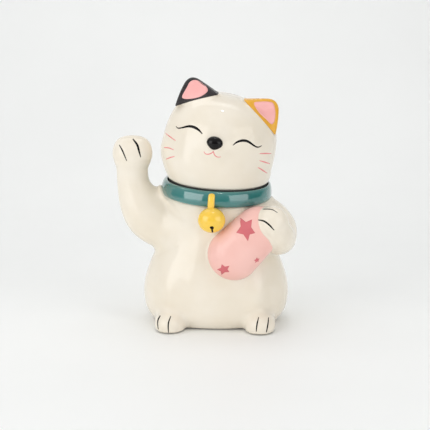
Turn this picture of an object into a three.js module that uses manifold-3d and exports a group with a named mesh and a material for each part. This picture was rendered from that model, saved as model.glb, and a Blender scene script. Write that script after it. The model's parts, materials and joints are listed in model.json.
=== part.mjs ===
// Beckoning cat jar: a hollow glazed ceramic cat whose head lifts off as the lid.
// Millimetres, +Z up, front towards -Y, origin at the centre of the flat base.
import * as THREE from 'three';
import { mergeVertices } from 'three/addons/utils/BufferGeometryUtils.js';
import Module from 'manifold-3d';

const wasm = await Module();
wasm.setup();

// ---- Driving dimensions ----
const GAP = 0.3; // clearance left between neighbouring pieces
const WALL = 5; // thickness of the cast ceramic wall
const FLOOR = 6; // thickness of the jar's floor
const BASE_WIDE = 59; // half-width of the flat underside
const BASE_DEEP = 46; // half-depth of the flat underside

// Half-width and half-depth of the jar against height
const HIP_WIDE = [
  [3, 63], [9, 68], [24, 72.5], [42, 71.5], [57, 67], [72, 60.5], [88, 54.5], [104, 51.5], [118, 51.5],
];
const HIP_DEEP = [
  [3, 49], [9, 53.5], [24, 57], [42, 57.5], [57, 56], [72, 54], [88, 51.5], [104, 50], [118, 50.5],
];
const HIP_BACK = 2; // how far the hips sit behind the origin
const HIP_SQUARE = 2.15; // squareness of the jar's sections, 2 being an ellipse
const LEG_BULGE = 3.5; // how far each folded leg stands out of the jar's front
const LEG_X = 43.5; // half-distance between the legs
const LEG_SPREAD = 13; // how far each leg's swell spreads sideways
const LEG_TOP = 78; // height at which the legs have melted into the belly

// The neck, where the head parts from the jar
const NECK = new THREE.Vector3(2, 0, 141.5);
const NECK_PITCH = 4.5; // lean to the front, in degrees
const NECK_ROLL = 3; // lean to the raised arm's far side, in degrees
const LEAN_FROM = 80; // height at which the jar's sections start to lean with the neck
const LEAN_TO = 118;
const SEAT_DROP = 12.3; // the seal's seat, below the parting plane
const SHOULDER_DROP = 15.3; // the ledge that carries the collar
const SHOULDER_R = 52.8;
const RIM_R = 48.1; // outside of the raised rim that the seal sits on
const BORE_R = 39.5; // the jar's mouth
const BORE_DEEP = 7; // depth of the straight part of the mouth

// The head
const HEAD_ROLL = 11; // lean of the face beyond the neck's own lean, in degrees
const HEAD_X = -2.2; // sideways offset of the head's widest section
const HEAD_H = 24; // height of the widest section above the parting plane
const HEAD_WIDE = 55.6;
const HEAD_DEEP = 52.5;
const HEAD_UP = 61.3; // crown above the widest section
const HEAD_SQUARE = 2.85; // squareness of the head's front outline
const HEAD_FOOT_R = 49; // radius at the parting plane
const FLANGE_R = 38.2; // the lid's sleeve, which drops into the jar's mouth
const FLANGE_DROP = 28;
const FLANGE_WALL = 4.5;
const LID_DROP = 9.9; // underside of the head, below the parting plane
const LID_FOOT_R = 46.2;
const LID_FLARE = 3; // the head's foot flares out to its full radius this far below the parting plane
const LID_COVE = 4; // the hollow narrows into the sleeve this far below the parting plane

// Facets round each kind of piece
const ROUND = 40;
const LIMB_ROUND = 20;

// ---- Materials ----
const glaze = (color, roughness = 0.16) => (
  new THREE.MeshStandardMaterial({ color, roughness, metalness: 0 })
);
const CREAM = '#efe6d4';
const paint = {
  cream: () => glaze(CREAM),
  teal: () => glaze('#42847f'),
  yellow: () => glaze('#f6cc56'),
  pink: () => glaze('#f5c6be'),
  orange: () => glaze('#e7ac45'),
  black: () => glaze('#302e2f'),
  noseBlack: () => glaze('#181516', 0.1),
  rubber: () => glaze('#26282a', 0.75),
};

// ---- Helpers ----
const { cos, sin, abs, exp, sqrt, PI } = Math;
const rad = THREE.MathUtils.degToRad;
const { lerp, smoothstep } = THREE.MathUtils;
const power = (value, exponent) => Math.sign(value) * abs(value) ** exponent;
const vec = (x, y, z) => new THREE.Vector3(x, y, z);

// Smooth curve y(x) through a short list of points
function through(points) {
  const slope = points.map((_, i) => {
    const [x0, y0] = points[Math.max(i - 1, 0)];
    const [x1, y1] = points[Math.min(i + 1, points.length - 1)];
    return (y1 - y0) / (x1 - x0);
  });
  return (x) => {
    let i = points.findIndex(([px], k) => k > 0 && x <= px) - 1;
    if (i < 0) i = points.length - 2;
    const [x0, y0] = points[i];
    const [x1, y1] = points[i + 1];
    const t = (x - x0) / (x1 - x0);
    const run = x1 - x0;
    const rise = (3 - 2 * t) * t * t;
    return lerp(y0, y1, rise) + run * t * (1 - t) * ((1 - t) * slope[i] - t * slope[i + 1]);
  };
}

// A skin of rings: place(ring, c, s) gives the point of a ring in direction (c, s).
// Rings marked pole close on a single point; without poles the last ring joins the first.
function skin(rings, around, place) {
  const closed = rings[0].pole ? rings : [...rings, rings[0]];
  const outline = closed.map((ring, j) => new THREE.Vector2(ring.pole ? 0 : 1, j));
  const geometry = new THREE.LatheGeometry(outline, around);
  const position = geometry.attributes.position;
  for (let i = 0; i <= around; i++) {
    const turn = (2 * PI * (i % around)) / around;
    closed.forEach((ring, j) => {
      const spot = ring.pole ? place(ring, 0, 0) : place(ring, cos(turn), sin(turn));
      position.setXYZ(i * closed.length + j, spot.x, spot.y, spot.z);
    });
  }
  return geometry;
}

// A closed solid from a geometry, its doubled corners merged and its empty faces dropped
function toSolid(geometry) {
  const bare = new THREE.BufferGeometry();
  bare.setAttribute('position', geometry.attributes.position);
  bare.setIndex(geometry.index);
  const merged = mergeVertices(bare, 1e-4);
  const corners = merged.index.array;
  const triVerts = [];
  for (let i = 0; i < corners.length; i += 3) {
    const [a, b, c] = corners.slice(i, i + 3);
    if (a !== b && b !== c && c !== a) triVerts.push(a, b, c);
  }
  const vertProperties = merged.attributes.position.array;
  const mesh = new wasm.Mesh({ numProp: 3, vertProperties, triVerts: new Uint32Array(triVerts) });
  return new wasm.Manifold(mesh);
}

function toGeometry(solid) {
  const { vertProperties, triVerts } = solid.getMesh();
  const geometry = new THREE.BufferGeometry();
  geometry.setAttribute('position', new THREE.BufferAttribute(vertProperties, 3));
  geometry.setIndex(new THREE.BufferAttribute(triVerts, 1));
  geometry.computeVertexNormals();
  return geometry;
}

// Cut a piece by its neighbours and keep its one main body, without offcuts
function cut(geometry, ...tools) {
  const rest = tools.reduce((solid, tool) => solid.subtract(toSolid(tool)), toSolid(geometry));
  return toGeometry(rest.decompose().reduce((big, other) => (other.volume() > big.volume() ? other : big)));
}

function piece(name, geometry, material) {
  const mesh = new THREE.Mesh(geometry, material);
  mesh.name = name;
  return mesh;
}

// ---- The jar ----
const neck = new THREE.Group();
neck.position.copy(NECK);
neck.rotation.set(rad(NECK_PITCH), rad(NECK_ROLL), 0);
neck.updateMatrix();
const seat = vec(0, 0, -SEAT_DROP).applyMatrix4(neck.matrix);
const shoulderZ = seat.z - (SHOULDER_DROP - SEAT_DROP);

// Place a jar ring: squared ellipse, folded legs at the front, leaning with the neck near the top
function placeJar(ring, c, s) {
  const square = 2 / lerp(HIP_SQUARE, 2, smoothstep(ring.z, LEAN_FROM, LEAN_TO));
  const x = ring.wide * power(c, square);
  let y = ring.deep * power(s, square);
  if (ring.legs && s < 0) {
    const fade = 1 - smoothstep(ring.z, 0.45 * LEG_TOP, LEG_TOP); // full over the lower part
    y -= LEG_BULGE * fade * exp(-(((abs(x) - LEG_X) / LEG_SPREAD) ** 2));
  }
  const lean = smoothstep(ring.z, LEAN_FROM, LEAN_TO);
  const tilt = new THREE.Euler(lean * rad(NECK_PITCH), lean * rad(NECK_ROLL), 0);
  const centre = vec(lean * seat.x, lerp(HIP_BACK, seat.y, lean), ring.z);
  return vec(x, y, 0).applyEuler(tilt).add(centre);
}

const hipWide = through(HIP_WIDE);
const hipDeep = through(HIP_DEEP);
const hipHeights = [3, 9, 16, 24, 33, 42, 52, 62, 72, 82, 92, 104, 114];
const hoop = (r, z) => ({ wide: r, deep: r, z });

// Outer rings of the jar, grown by a margin when they serve as a cutting tool
function jarRings(grow) {
  const side = (z) => ({ wide: hipWide(z) + grow, deep: hipDeep(z) + grow, z, legs: true });
  return [
    { pole: true, wide: 0, deep: 0, z: -grow },
    { wide: BASE_WIDE + grow, deep: BASE_DEEP + grow, z: -grow },
    ...hipHeights.map(side),
    hoop(SHOULDER_R + grow, shoulderZ - 2),
    hoop(SHOULDER_R + grow, shoulderZ + grow),
  ];
}

// The jar: outside, rim, mouth, and the hollow inside with a coved corner at the floor
function jarBody() {
  const inner = (height, inset, z) => ({ wide: hipWide(height) - inset, deep: hipDeep(height) - inset, z });
  const cavity = [...hipHeights].reverse().slice(1, -2);
  const rings = [
    ...jarRings(0),
    hoop(RIM_R, shoulderZ),
    hoop(RIM_R, seat.z),
    hoop(BORE_R, seat.z),
    hoop(BORE_R, seat.z - BORE_DEEP),
    ...cavity.map((z) => inner(z, WALL, z)),
    inner(10, 1.6 * WALL, FLOOR + 2),
    inner(6, 4 * WALL, FLOOR),
    { pole: true, wide: 0, deep: 0, z: FLOOR },
  ];
  return skin(rings, ROUND, placeJar);
}

// Solid envelope of the jar, for cutting what is luted to it
const jarTool = skin([...jarRings(GAP), { ...hoop(0, shoulderZ + GAP), pole: true }], ROUND, placeJar);

// ---- The collar, the seal and the bell's strap, in the neck's frame ----
const placeNeck = (ring, c, s) => vec(ring.r * c, ring.r * s, ring.w);
const turned = (profile) => skin(profile.map(([r, w]) => ({ r, w })), ROUND, placeNeck);

const COLLAR_LOW = GAP - SHOULDER_DROP;
const collarFace = [[51.2, 0.2], [53.4, -2.2], [55.5, -5.8], [56.3, -9.6], [55.6, -13], [54, COLLAR_LOW]];
const collarBore = [[48.4, COLLAR_LOW], [48.4, -9.9], [49.3, -5], [50.3, -0.4]];
const collar = turned([...collarBore, ...collarFace].reverse());

const SEAL_LOW = -SEAT_DROP + GAP;
const SEAL_HIGH = -LID_DROP - GAP;
const SEAL_BORE = FLANGE_R + 0.4;
const SEAL_GROOVE = 0.5; // depth of the groove round the seal's top
const seal = turned([
  [SEAL_BORE, SEAL_LOW], [47.4, SEAL_LOW], [47.7, (SEAL_LOW + SEAL_HIGH) / 2], [47.4, SEAL_HIGH],
  [45, SEAL_HIGH], [44, SEAL_HIGH - SEAL_GROOVE], [43, SEAL_HIGH], [SEAL_BORE, SEAL_HIGH],
]);

// Solid envelope of the collar, grown by the gap
const collarTool = skin([
  { pole: true, r: 0, w: COLLAR_LOW - GAP },
  { r: collarFace.at(-1)[0] + GAP, w: COLLAR_LOW - GAP },
  ...[...collarFace].reverse().map(([r, w]) => ({ r: r + GAP, w: w + GAP })),
  { pole: true, r: 0, w: collarFace[0][1] + GAP },
], ROUND, placeNeck);

// The bell, a flattened ball against the chest
const BELL_AT = vec(-1.2, -57, 111);
const BELL_SIZE = [13, 10.5, 12]; // half-width, half-depth and half-height
const bellBall = (grow) => new THREE.SphereGeometry(1, 24, 14)
  .rotateX(PI / 2)
  .scale(...BELL_SIZE.map((half) => half + grow))
  .translate(BELL_AT.x, BELL_AT.y, BELL_AT.z);

// A strap that follows the front of the collar and carries the bell
const STRAP_WIDE = 6.2;
const STRAP_THICK = 2.6;
const STRAP_TURN = 3.3; // degrees round the collar, towards the raised arm
function strapGeometry() {
  const near = [[54.4, -1], ...collarFace.slice(1), [54, -19]];
  const back = near.map(([r, w]) => new THREE.Vector2(-r - GAP, w));
  const front = near.map(([r, w]) => new THREE.Vector2(-r - GAP - STRAP_THICK, w)).reverse();
  const outline = new THREE.Shape([...back, ...front]);
  const geometry = new THREE.ExtrudeGeometry(outline, { depth: STRAP_WIDE, bevelEnabled: false });
  return geometry
    .applyMatrix4(new THREE.Matrix4().makeBasis(vec(0, 1, 0), vec(0, 0, 1), vec(1, 0, 0)))
    .translate(-STRAP_WIDE / 2, 0, 0)
    .rotateZ(-rad(STRAP_TURN));
}

// ---- The head, in the neck's frame ----
function placeHead(ring, c, s) {
  const t = Math.min(Math.max(ring.h / HEAD_H, 0), 1);
  const tilt = rad(HEAD_ROLL) * smoothstep(ring.h, 0, HEAD_H + 4);
  const above = Math.max(ring.h - HEAD_H, 0);
  const slope = Math.tan(rad(HEAD_ROLL));
  const drift = (3 - 2 * t) * t * t * HEAD_X + (t - 1) * t * t * HEAD_H * slope;
  const centre = vec(drift + above * sin(rad(HEAD_ROLL)), 0, ring.h - above + above * cos(rad(HEAD_ROLL)));
  return vec(ring.wide * c, ring.deep * s, 0).applyEuler(new THREE.Euler(0, tilt, 0)).add(centre);
}

// Head rings from the parting plane to the crown, grown or shrunk by a margin
function headRings(grow) {
  const cheek = [0, 0.12, 0.3, 0.52, 0.76].map((t) => {
    const swell = sin((t * PI) / 2);
    const wide = lerp(HEAD_FOOT_R, HEAD_WIDE, swell) + grow;
    return { wide, deep: lerp(HEAD_FOOT_R, HEAD_DEEP, swell) + grow, h: t * HEAD_H };
  });
  const crown = [0, 0.14, 0.28, 0.42, 0.56, 0.7, 0.82, 0.92].map((t) => {
    const across = cos((t * PI) / 2) ** (2 / HEAD_SQUARE);
    const rise = sin((t * PI) / 2) ** (2 / HEAD_SQUARE) * (HEAD_UP + grow);
    return { wide: across * (HEAD_WIDE + grow), deep: across * (HEAD_DEEP + grow), h: HEAD_H + rise };
  });
  return [...cheek, ...crown, { pole: true, wide: 0, deep: 0, h: HEAD_H + HEAD_UP + grow }];
}

const disc = (r, h) => ({ wide: r, deep: r, h });

// The head: hollow dome, the sleeve that drops into the jar's mouth, and the outside
function headLid() {
  const dome = headRings(-WALL).reverse();
  const rings = [
    ...dome.slice(0, -2),
    disc(FLANGE_R - FLANGE_WALL, -LID_COVE),
    disc(FLANGE_R - FLANGE_WALL, -FLANGE_DROP),
    disc(FLANGE_R, -FLANGE_DROP),
    disc(FLANGE_R, -LID_DROP),
    disc(LID_FOOT_R, -LID_DROP),
    disc(HEAD_FOOT_R - 0.6, -LID_FLARE),
    ...headRings(0),
  ];
  return skin(rings, ROUND, placeHead);
}

// Solid envelope of the head, for cutting what is luted to it
const headFoot = [{ ...disc(0, -1), pole: true }, disc(HEAD_FOOT_R, -1)];
const headTool = skin([...headFoot, ...headRings(GAP)], ROUND, placeHead);

// Point in the head's own leaning frame, measured from its widest section
function onHead(x, y, up) {
  const tilt = new THREE.Euler(0, rad(HEAD_ROLL), 0);
  return vec(x, y, up).applyEuler(tilt).add(vec(HEAD_X, 0, HEAD_H));
}

// The ears: inner and outer ends of the base, and the tip, as [x, up] on the head's face
const EAR_INNER = [14, 60];
const EAR_OUTER = [50.5, 36.5];
const EAR_APEX = [42.6, 69.3];
const EAR_Y = [-7, -5]; // place in depth at the base and at the tip
const EAR_THICK = [15, 4]; // half-thickness at the base and at the tip
const EAR_TIP = 3.4; // half-width at the tip
const EAR_SWELL = 1.2; // how far the ear's sides bow out
const EAR_SINK = -0.35; // the root's depth inside the head, as a share of the ear's height
const EAR_CAP = 0.8; // share of the height at which the tip begins to round off
const EAR_SQUARE = 0.75; // squareness of the ear's sections, 1 being an ellipse

// One ear: a thick wedge from its base in the head to a rounded tip; side is -1 or 1
function ear(side) {
  const base = EAR_INNER.map((value, i) => (value + EAR_OUTER[i]) / 2);
  const along = new THREE.Vector2(EAR_OUTER[0] - EAR_INNER[0], EAR_OUTER[1] - EAR_INNER[1]);
  const half = along.length() / 2;
  along.normalize();
  const steps = [EAR_SINK, EAR_SINK, 0, 0.3, 0.6, 0.85, 0.97, 1];
  const rings = steps.map((t, i) => ({ t, pole: i === 0 || i === steps.length - 1 }));
  const place = ({ t }, c, s) => {
    const close = sqrt(1 - (Math.max(t - EAR_CAP, 0) / (1 - EAR_CAP)) ** 2);
    const wide = (lerp(half, EAR_TIP, t) + EAR_SWELL * sin(PI * Math.max(t, 0))) * close;
    const thick = lerp(...EAR_THICK, t) * close * side;
    const out = wide * power(c, EAR_SQUARE);
    const x = lerp(base[0], EAR_APEX[0], t) + along.x * out;
    const up = lerp(base[1], EAR_APEX[1], t) + along.y * out;
    return onHead(side * x, lerp(...EAR_Y, t) + thick * power(s, EAR_SQUARE), up);
  };
  return cut(skin(rings, LIMB_ROUND, place), headTool);
}

const NOSE_X = -4.2; // the face looks slightly towards the raised arm
const NOSE_UP = 23.5;
const NOSE_SIZE = [7.2, 5, 6.2]; // half-width, half-depth and half-height
const NOSE_SINK = 1.5;
function nose() {
  const ball = new THREE.SphereGeometry(1, 20, 12).scale(...NOSE_SIZE);
  const spot = onHead(NOSE_X, NOSE_SINK - HEAD_DEEP, NOSE_UP);
  return cut(ball.rotateY(rad(HEAD_ROLL)).translate(spot.x, spot.y, spot.z), headTool);
}

// ---- Limbs, pouch, feet and tail ----
const ARM_END = { cap: 0.16, square: 2.4 }; // share of the length in each rounded end, and its squareness
const EGG_END = { cap: 0.3, square: 2 };

// A rounded limb along a smooth path through its stops
function limb(stops, { cap, square }, grow = 0, rings = 16) {
  const path = new THREE.CatmullRomCurve3(stops.map(([x, y, z]) => vec(x, y, z)));
  const last = stops.length - 1;
  const across = through(stops.map((stop, i) => [i / last, stop[3]]));
  const depth = through(stops.map((stop, i) => [i / last, stop[4]]));
  let side = vec(0, 1, 0);
  const list = Array.from({ length: rings + 1 }, (_, j) => {
    const t = (1 - cos((PI * j) / rings)) / 2;
    const heading = path.getTangent(t);
    side = side.clone().addScaledVector(heading, -side.dot(heading)).normalize();
    const end = Math.min(t, 1 - t) / cap;
    const close = end < 1 ? (1 - (1 - end) ** square) ** (1 / square) : 1;
    return { t, side, front: side.clone().cross(heading), heading, close, pole: j === 0 || j === rings };
  });
  const place = ({ t, side: out, front, heading, close, pole }, c, s) => {
    const spot = path.getPoint(t);
    if (pole) return spot.addScaledVector(heading, t < 0.5 ? -grow : grow);
    spot.addScaledVector(front, c * (across(t) * close + grow));
    return spot.addScaledVector(out, s * (depth(t) * close + grow));
  };
  return skin(list, LIMB_ROUND, place);
}

// Pieces on the jar are luted on: cut where they meet the jar, the collar and each other
const collarInPlace = collarTool.clone().applyMatrix4(neck.matrix);
const luted = (geometry, ...others) => cut(geometry, jarTool, collarInPlace, ...others);

// Limbs as stops along a path: x, y, z, radius across, radius in depth
const RAISED_ARM = [
  [-30, 0, 92, 25, 22], [-52, -3, 98, 27, 23], [-66, -6, 106.5, 25.5, 21], [-75, -9, 120, 20.5, 18.5],
  [-79, -10, 137, 16.5, 16.5], [-80.5, -11, 154, 16, 16], [-81, -12, 170, 18.8, 18],
  [-81, -12, 186, 18, 15],
];
const HOLDING_ARM = [
  [34, 6, 112, 16, 16], [50, -2, 109, 19, 18], [62, -14, 98, 17.5, 17], [62.5, -30, 90, 17, 16],
  [60, -43, 96, 15.5, 14.5], [53, -51, 106, 14.5, 13], [46, -55, 114, 12.5, 11],
];
const POUCH = [
  [3, -47, 59.5, 24, 17], [14, -48, 70.5, 24, 17.5], [25, -48, 81.5, 24.5, 17.5], [36, -46, 92.5, 24, 17],
  [47, -43, 103.5, 23, 16], [58, -39, 114.5, 22, 15],
];
const TAIL = [
  [-8, 50, 15, 8, 8], [4, 59, 18, 8.5, 8.5], [17, 61, 25, 8.5, 8.5], [27, 58, 35, 7.5, 7.5],
  [32, 54, 46, 6, 6],
];

const FOOT_WIDE = 14.6; // half-width
const FOOT_DEEP = 21; // half-depth
const FOOT_HIGH = 20.3;
const FOOT_Y = -42.5;
// Share of the foot's full size, and height
const FOOT_SECTIONS = [[0.86, 0], [0.97, 2.5], [1, 7], [0.93, 12.5], [0.72, 17], [0.4, 19.6]];
function foot(side) {
  const rings = [
    { pole: true, share: 0, z: 0 },
    ...FOOT_SECTIONS.map(([share, z]) => ({ share, z })),
    { pole: true, share: 0, z: FOOT_HIGH },
  ];
  const across = (share, c) => side * LEG_X + FOOT_WIDE * share * c;
  const place = ({ share, z }, c, s) => vec(across(share, c), FOOT_Y + FOOT_DEEP * share * s, z);
  return luted(skin(rings, LIMB_ROUND, place));
}

// ---- Assembly ----
const bellOnNeck = bellBall(GAP).applyMatrix4(neck.matrix.clone().invert());
neck.add(
  piece('collar', toGeometry(toSolid(collar)), paint.teal()),
  piece('lid_seal', toGeometry(toSolid(seal)), paint.rubber()),
  piece('head_lid', toGeometry(toSolid(headLid())), paint.cream()),
  piece('right_ear', ear(-1), paint.black()),
  piece('left_ear', ear(1), paint.orange()),
  piece('nose', nose(), paint.noseBlack()),
  piece('bell_strap', cut(strapGeometry(), bellOnNeck), paint.yellow()),
);

const cat = new THREE.Group();
cat.add(
  neck,
  piece('jar_body', toGeometry(toSolid(jarBody())), paint.cream()),
  piece('bell', luted(bellBall(0)), paint.yellow()),
  piece('raised_arm', luted(limb(RAISED_ARM, ARM_END)), paint.cream()),
  piece('holding_arm', luted(limb(HOLDING_ARM, ARM_END)), paint.cream()),
  piece('pouch', luted(limb(POUCH, EGG_END), limb(HOLDING_ARM, ARM_END, GAP), bellBall(GAP)), paint.pink()),
  piece('right_foot', foot(-1), paint.cream()),
  piece('left_foot', foot(1), paint.cream()),
  piece('tail', luted(limb(TAIL, ARM_END)), paint.cream()),
);

export default cat;
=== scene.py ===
"""Beckoning cat jar: the glazed surfaces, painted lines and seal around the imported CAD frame."""
import json
import math

import bpy
import numpy as np
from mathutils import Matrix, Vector


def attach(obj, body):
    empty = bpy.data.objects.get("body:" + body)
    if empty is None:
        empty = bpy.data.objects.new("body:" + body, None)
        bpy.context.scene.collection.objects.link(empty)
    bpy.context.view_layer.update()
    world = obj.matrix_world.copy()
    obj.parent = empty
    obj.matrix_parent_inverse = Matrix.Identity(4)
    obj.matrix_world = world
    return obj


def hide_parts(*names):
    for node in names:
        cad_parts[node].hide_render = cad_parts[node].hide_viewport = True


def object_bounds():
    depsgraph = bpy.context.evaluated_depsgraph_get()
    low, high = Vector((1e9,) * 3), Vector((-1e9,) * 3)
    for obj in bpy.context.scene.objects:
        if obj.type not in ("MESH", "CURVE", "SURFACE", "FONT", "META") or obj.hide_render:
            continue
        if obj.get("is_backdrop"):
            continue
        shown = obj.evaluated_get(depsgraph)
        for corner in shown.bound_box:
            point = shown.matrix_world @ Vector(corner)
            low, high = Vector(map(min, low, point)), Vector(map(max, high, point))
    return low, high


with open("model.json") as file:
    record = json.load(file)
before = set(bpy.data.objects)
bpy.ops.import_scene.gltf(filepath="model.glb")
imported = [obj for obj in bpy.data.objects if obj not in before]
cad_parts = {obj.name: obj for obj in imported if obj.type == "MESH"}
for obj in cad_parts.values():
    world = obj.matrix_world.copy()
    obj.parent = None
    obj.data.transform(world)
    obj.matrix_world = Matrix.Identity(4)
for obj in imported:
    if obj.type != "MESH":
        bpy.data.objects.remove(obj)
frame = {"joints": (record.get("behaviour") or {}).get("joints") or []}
cad_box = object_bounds()

# ---- Dimensions, in millimetres and degrees; metres only where a mesh is made ----
MM = 0.001
FAR, TINY = 1e3, 1e-9  # a distance past everything, and a guard for roots and divisions
WALL, FLOOR = 5.0, 6.0
EDGE_ROUND, THIN_EDGE = 2, 1  # rounding where two outer surfaces meet
PROUD = 0.12  # how far a coloured casting stands over the cream skin round it

# The jar: its half width and half depth at each height, measured along its lean
HIP_WIDE = [
    (0, 59), (3, 63), (9, 68), (24, 72.5), (42, 71.5),
    (57, 67), (72, 60.5), (88, 54.5), (104, 51.5), (118, 51.5),
]
HIP_DEEP = [
    (0, 46), (3, 49), (9, 53.5), (24, 57), (42, 57.5),
    (57, 55.6), (72, 52.9), (88, 50), (104, 49), (118, 50.3),
]
HIP_BACK = 2.0  # how far the hips' middle lies behind the origin
HIP_SQUARE = 2.15  # 2 is an ellipse, and more is squarer
LEAN_FROM, LEAN_TO = 80.0, 118.0  # the jar leans over to the neck between these heights
LEG_BULGE = 5.5  # how far the thighs stand out of the hips' front
THIGH_X, LEG_SPREAD, LEG_TOP = 46.0, 13.0, 78.0
LEG_FADE = 20  # the thighs come in over this depth in front of the middle
FEET_X = 1.3  # the feet stand a little to the pouch's side
FOOT_AT, FOOT_SIZE = (43.5, -42.5, 7), (15.2, 21, 13.3)
PAW_SQUARE = 2.2
FOOT_RING = 1.3  # the underside's rim stands clear of the table by this much
RING_FROM, RING_TO = -8, -5.5  # where it rises, inside the wall
SEAT_DROP, SHOULDER_DROP = 12.3, 15.3  # the seal's seat and the shoulder, below the parting plane
RIM_R, RIM_DEPTH = 48.1, 25
BORE_R, BORE_DEPTH = 39.5, 30
CAVITY_DROP = 7  # how far the cavity's roof lies below the seat
ARM_FILLET, FOOT_FILLET, TAIL_FILLET, POUCH_FILLET = 9, 6, 5, 3
FLOOR_ROUND, ROOF_ROUND, BORE_FILLET = 8, 4, 3  # inside the jar
POUCH_BED, BED_DEPTH = 1.5, 0.5  # the pouch's bed: how far inside its edge, and how far into the wall
POUCH_EDGE, POUCH_ROOT = 1.6, 2.5  # the pouch's rounded edge, and how far it reaches into the wall

# The raised paw has three toes side by side
PAW_AT, TOE_SIZE = (-81.2, -13, 172.4), (9.3, 13, 12.3)
TOE_STEP, TOE_RISE, TOE_FILLET = 8.8, 1, 7
HOLDING_PAW_AT, HOLDING_PAW_SIZE = (56, -50, 110), (14, 13, 13.5)
RAISED_WRIST, HOLDING_WRIST = 8, 6  # fillets between an arm and its paw

# The arms web up to a rounded band that follows the collar's section, and end there
COLLAR_WEB = 14.0
BAND_R, BAND_W = 50, -8
BAND_HALF_R, BAND_HALF_W, BAND_ROUND = 4, 4.5, 2.2
BAND_LAP = 0.6  # how far the arms reach into the band
ARM_STOP_R = 55

# The collar, its strap and the bell
COLLAR_CORE = 50.8  # the collar is slimmed only outside this radius
BELL_AT, BELL_SIZE = (-1.2, -57, 111), (13, 10.5, 12)
BELL_BED, BELL_EDGE = 1.5, 0.8
STRAP_TURN = math.radians(3.3)
STRAP_HALF, STRAP_THICK, STRAP_SQUARE = 3.2, 1.9, 2.3

# The head, above the parting plane
HEAD_ROLL = 11.0
HEAD_X, HEAD_H = -2.6, 24.0  # the middle and the height of its widest section
HEAD_WIDE, HEAD_DEEP, HEAD_UP = 55.9, 52.5, 62.2
HEAD_SQUARE = 2.85
HEAD_FOOT_R, LID_FOOT_R, LID_DROP = 49.0, 46.2, 9.9
FLANGE_R, FLANGE_WALL, FLANGE_DROP = 38.2, 4.5, 28.0
GROOVE = 1.4  # the head's edge is drawn in over the seal's lip
GROOVE_FROM, GROOVE_TO = 0.5, 2.6
LID_WAIST = (-3, 1.7)  # the lid's wall below the parting plane: height, and how far it is drawn in
TILT_PAST = 4  # the sections reach their full tilt this far above the widest one
LID_FLOOR = 4  # the cavity's floor and the flange's top, this far below the parting plane

# The ears, by side, in the head's leaning frame: across and up from its widest section
EAR_INNER = {-1: np.array([12.0, 62.0]), 1: np.array([11.5, 62.8])}
EAR_OUTER = {-1: np.array([50.3, 40.2]), 1: np.array([50.0, 36.8])}
EAR_APEX = {-1: np.array([43.8, 73.6]), 1: np.array([44.6, 70.6])}
EAR_SWELL, EAR_INNER_SWELL, EAR_ROOT_SWELL = 1.4, 0.4, -1.4
EAR_TIP_ROUND, EAR_FRONT_ROUND, EAR_BACK_ROUND = 11, 3.5, 7
EAR_DISH, EAR_DISH_AT, EAR_DISH_SIZE = 1.3, (37, 60), (9, 8)  # the hollow of its face
EAR_GROW = 1.0  # how far the ear's own casting reaches past its outline
EAR_BED = 0.8  # how far the head's own skin lies below the ear's
EAR_ROOT = 2.5  # how far the ear's casting reaches into the head's wall
EAR_ENDS = 14.0  # where the ear's own casting ends, behind the neck's axis
EAR_TAPER_FROM, EAR_TAPER = -9.0, 11.0  # the outline narrows from here to the casting's end, by this much
EAR_FILLET = 3

# The muzzle and the nose, in the same frame
MUZZLE, MUZZLE_SIZE, MUZZLE_RISE = (-3.5, 16.0), (14.5, 10.5), 3
MUZZLE_FROM, MUZZLE_TO = 20, 40  # it comes in between these depths in front of the neck's axis
NOSE_AT = (-4.4, 21.6)
NOSE_WIDE, NOSE_THICK, NOSE_HIGH = 7.8, 5.6, 6.6
NOSE_SQUARE, NOSE_POINT, NOSE_BED = 2.1, 0.42, 2
NOSE_SET = 0.8  # how far the nose's middle is set into the face

# The neck's frame, from the axis that the head turns on
turn_joint = next(j for j in frame["joints"] if j["name"] == "head_turn")
NECK = np.array(turn_joint["pos_m"]) / MM
axis = np.array(turn_joint["axis"])
PITCH = math.atan2(-axis[1], axis[2])
ROLL = math.asin(axis[0])
SEAT = NECK - SEAT_DROP * axis


# ---- Curves and blends ----
def through(points):
    """Smooth curve y(x) through a short list of points."""
    xs, ys = np.array(points, float).T
    slopes = np.gradient(ys, xs)

    def curve(x):
        x = np.clip(x, xs[0], xs[-1])
        i = np.clip(np.searchsorted(xs, x) - 1, 0, len(xs) - 2)
        run = xs[i + 1] - xs[i]
        t = (x - xs[i]) / run
        rise = (3 - 2 * t) * t * t
        bend = run * t * (1 - t) * ((1 - t) * slopes[i] - t * slopes[i + 1])
        return ys[i] + (ys[i + 1] - ys[i]) * rise + bend

    return curve


def smoothstep(x, low, high):
    """Eased rise from 0 at low to 1 at high."""
    t = np.clip((x - low) / (high - low), 0, 1)
    return t * t * (3 - 2 * t)


def lerp(a, b, t):
    return a + (b - a) * t


def join(a, b, round_by):
    """Union of two fields, with a fillet."""
    h = np.maximum(round_by - np.abs(a - b), 0) / round_by
    return np.minimum(a, b) - h * h * round_by / 4


def meet(a, b, round_by):
    """Intersection of two fields, with a rounded edge."""
    return -join(-a, -b, round_by)


def between(p0, p1, p2, p3, t):
    """Catmull-Rom point at t of the way from p1 to p2."""
    return 0.5 * (2 * p1 + (p2 - p0) * t + (2 * p0 - 5 * p1 + 4 * p2 - p3) * t**2
                  + (3 * p1 - p0 - 3 * p2 + p3) * t**3)


def path_points(stops, steps=6):
    """Smooth samples through an open list of stops of any width."""
    stops = np.array(stops, float)
    ends = np.vstack([2 * stops[0] - stops[1], stops, 2 * stops[-1] - stops[-2]])
    out = [between(*ends[i - 1:i + 3], t) for i in range(1, len(ends) - 2) for t in np.arange(steps) / steps]
    return np.array(out + [stops[-1]])


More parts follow.
